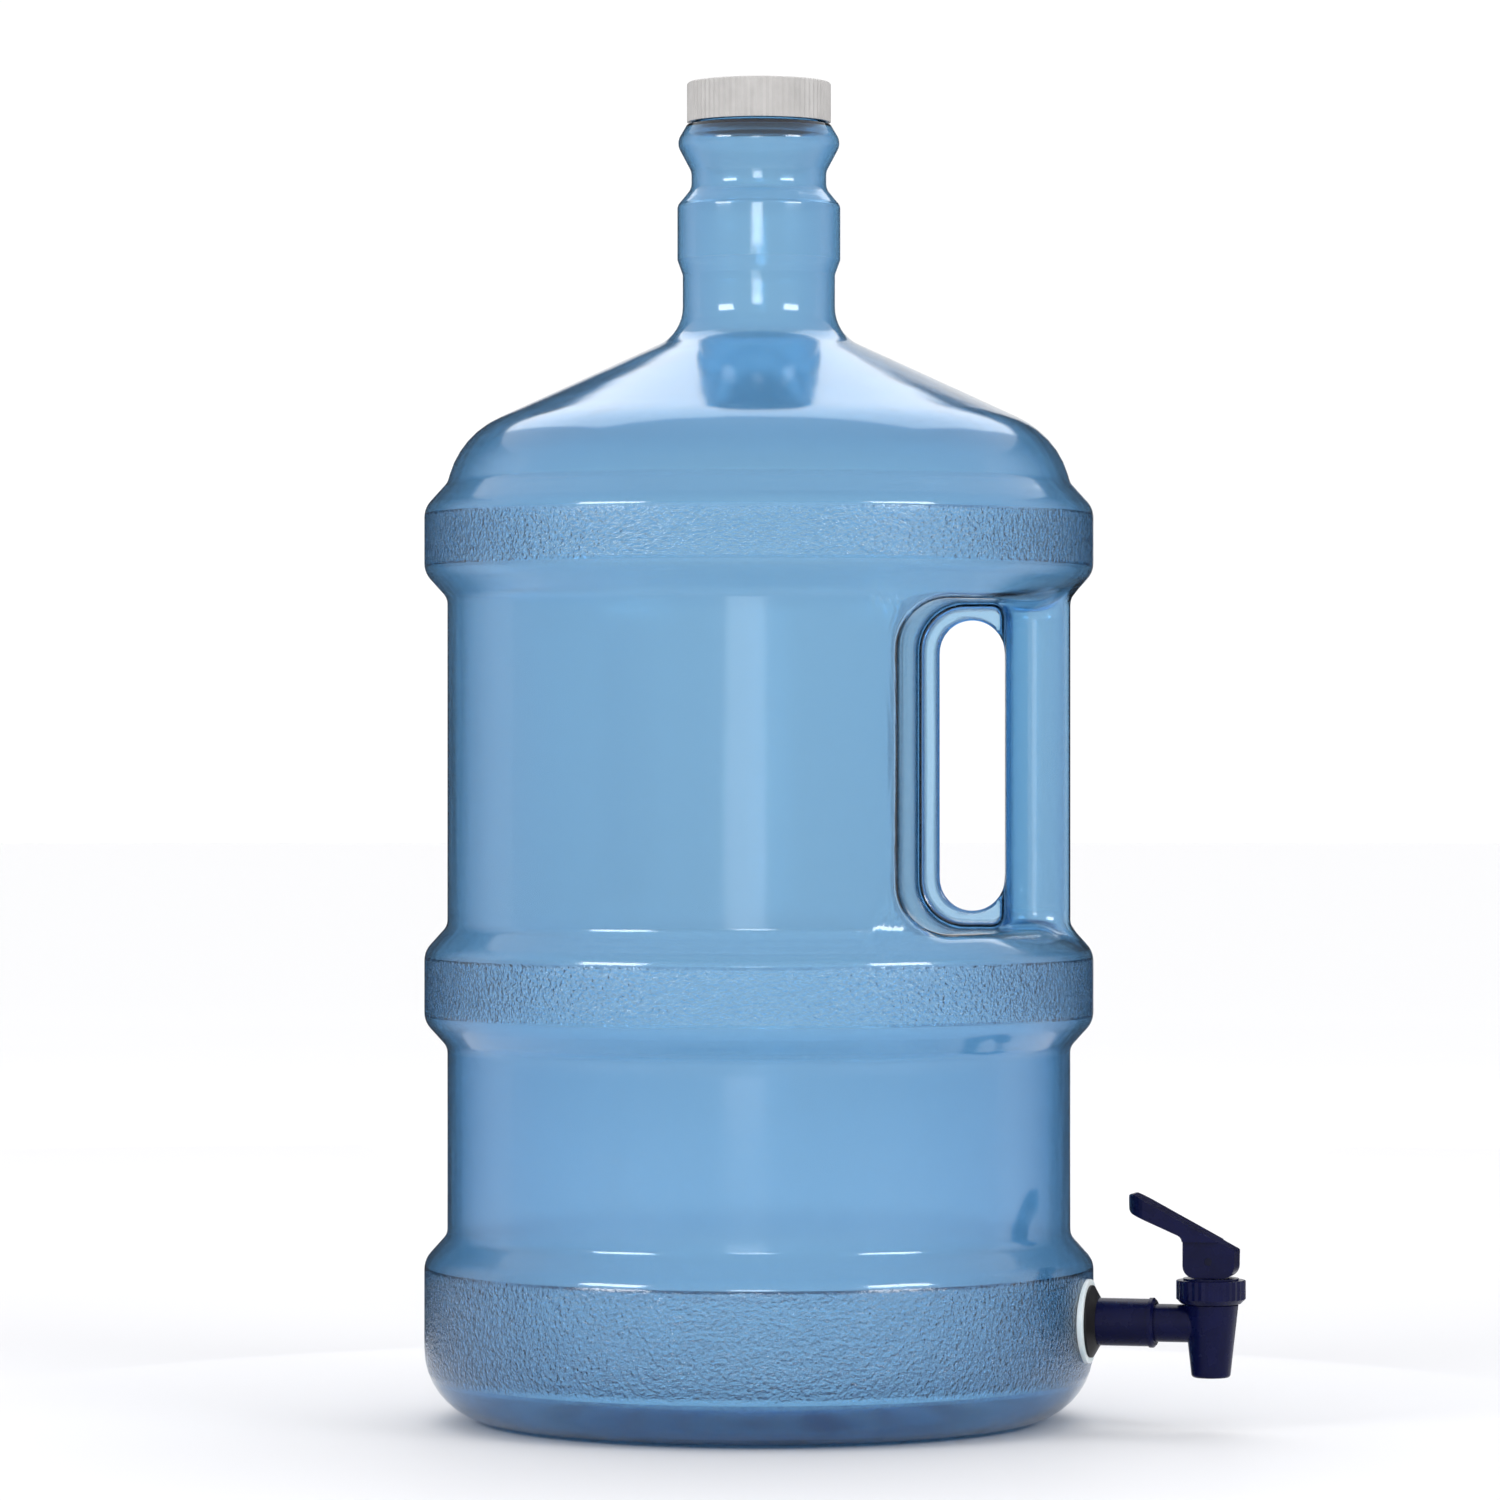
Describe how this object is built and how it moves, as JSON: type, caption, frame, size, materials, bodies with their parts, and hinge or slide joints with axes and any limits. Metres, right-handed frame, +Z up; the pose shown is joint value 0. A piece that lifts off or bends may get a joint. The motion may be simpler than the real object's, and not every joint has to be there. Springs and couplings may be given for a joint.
{
  "type": "large water jug",
  "caption": "Large refillable water jug with an inset carrying handle, a screw cap and a lever tap near its foot.",
  "frame": {"origin": "on the jug's axis, in the plane of the foot ring that it stands on", "axes": "+Z up along the jug's axis, +X from the axis to the handle, Y across; the tap points 12 degrees from +X towards -Y"},
  "size_m": [0.2747, 0.225, 0.4498],
  "materials": {
    "blue_polycarbonate": "clear, glossy, tinted blue",
    "ivory_plastic": "satin moulded",
    "foam_liner": "foam sheet",
    "clear_silicone": "satin, translucent white",
    "black_rubber": "satin",
    "natural_plastic": "satin moulded",
    "navy_plastic": "semi-gloss moulded",
    "pin_steel": "drawn"
  },
  "bodies": {
    "jug": {"bottle": "blue_polycarbonate", "wall_gasket": "clear_silicone", "bevel_washer": "black_rubber", "inner_washer": "clear_silicone", "shank_nut": "natural_plastic", "spacer_sleeve": "navy_plastic", "tap_body": "navy_plastic", "bonnet": "navy_plastic", "seat_cup": "clear_silicone"},
    "liner": {"cap_liner": "foam_liner"},
    "cap": {"screw_cap": "ivory_plastic"},
    "stem": {"valve_stem": "natural_plastic"},
    "lever": {"lever": "navy_plastic", "lever_pin": "pin_steel"}
  },
  "joints": [
    {"name": "cap_lift", "type": "slide", "parent": "jug", "child": "liner", "axis": [0, 0, 1], "range_m": [0, 0.0127]},
    {"name": "cap_turn", "type": "hinge", "parent": "liner", "child": "cap", "pos_m": [0, 0, 0.443], "axis": [0, 0, 1], "range_deg": [0, 1080]},
    {"name": "stem_lift", "type": "slide", "parent": "jug", "child": "stem", "axis": [0, 0, 1], "range_m": [0, 0.00222], "deforming": ["seat_cup"]},
    {"name": "lever_tilt", "type": "hinge", "parent": "stem", "child": "lever", "pos_m": [0.15083, -0.03206, 0.0559], "axis": [-0.2079, -0.9781, 0], "range_deg": [0, 32], "stiffness_Nm_per_rad": 0.25, "springref_deg": -5.73}
  ],
  "couplings": [
    {"joint": "cap_lift", "follows": "cap_turn", "m_per_rad": 0.00066845},
    {"joint": "stem_lift", "follows": "lever_tilt", "m_per_rad": 0.0039565}
  ]
}
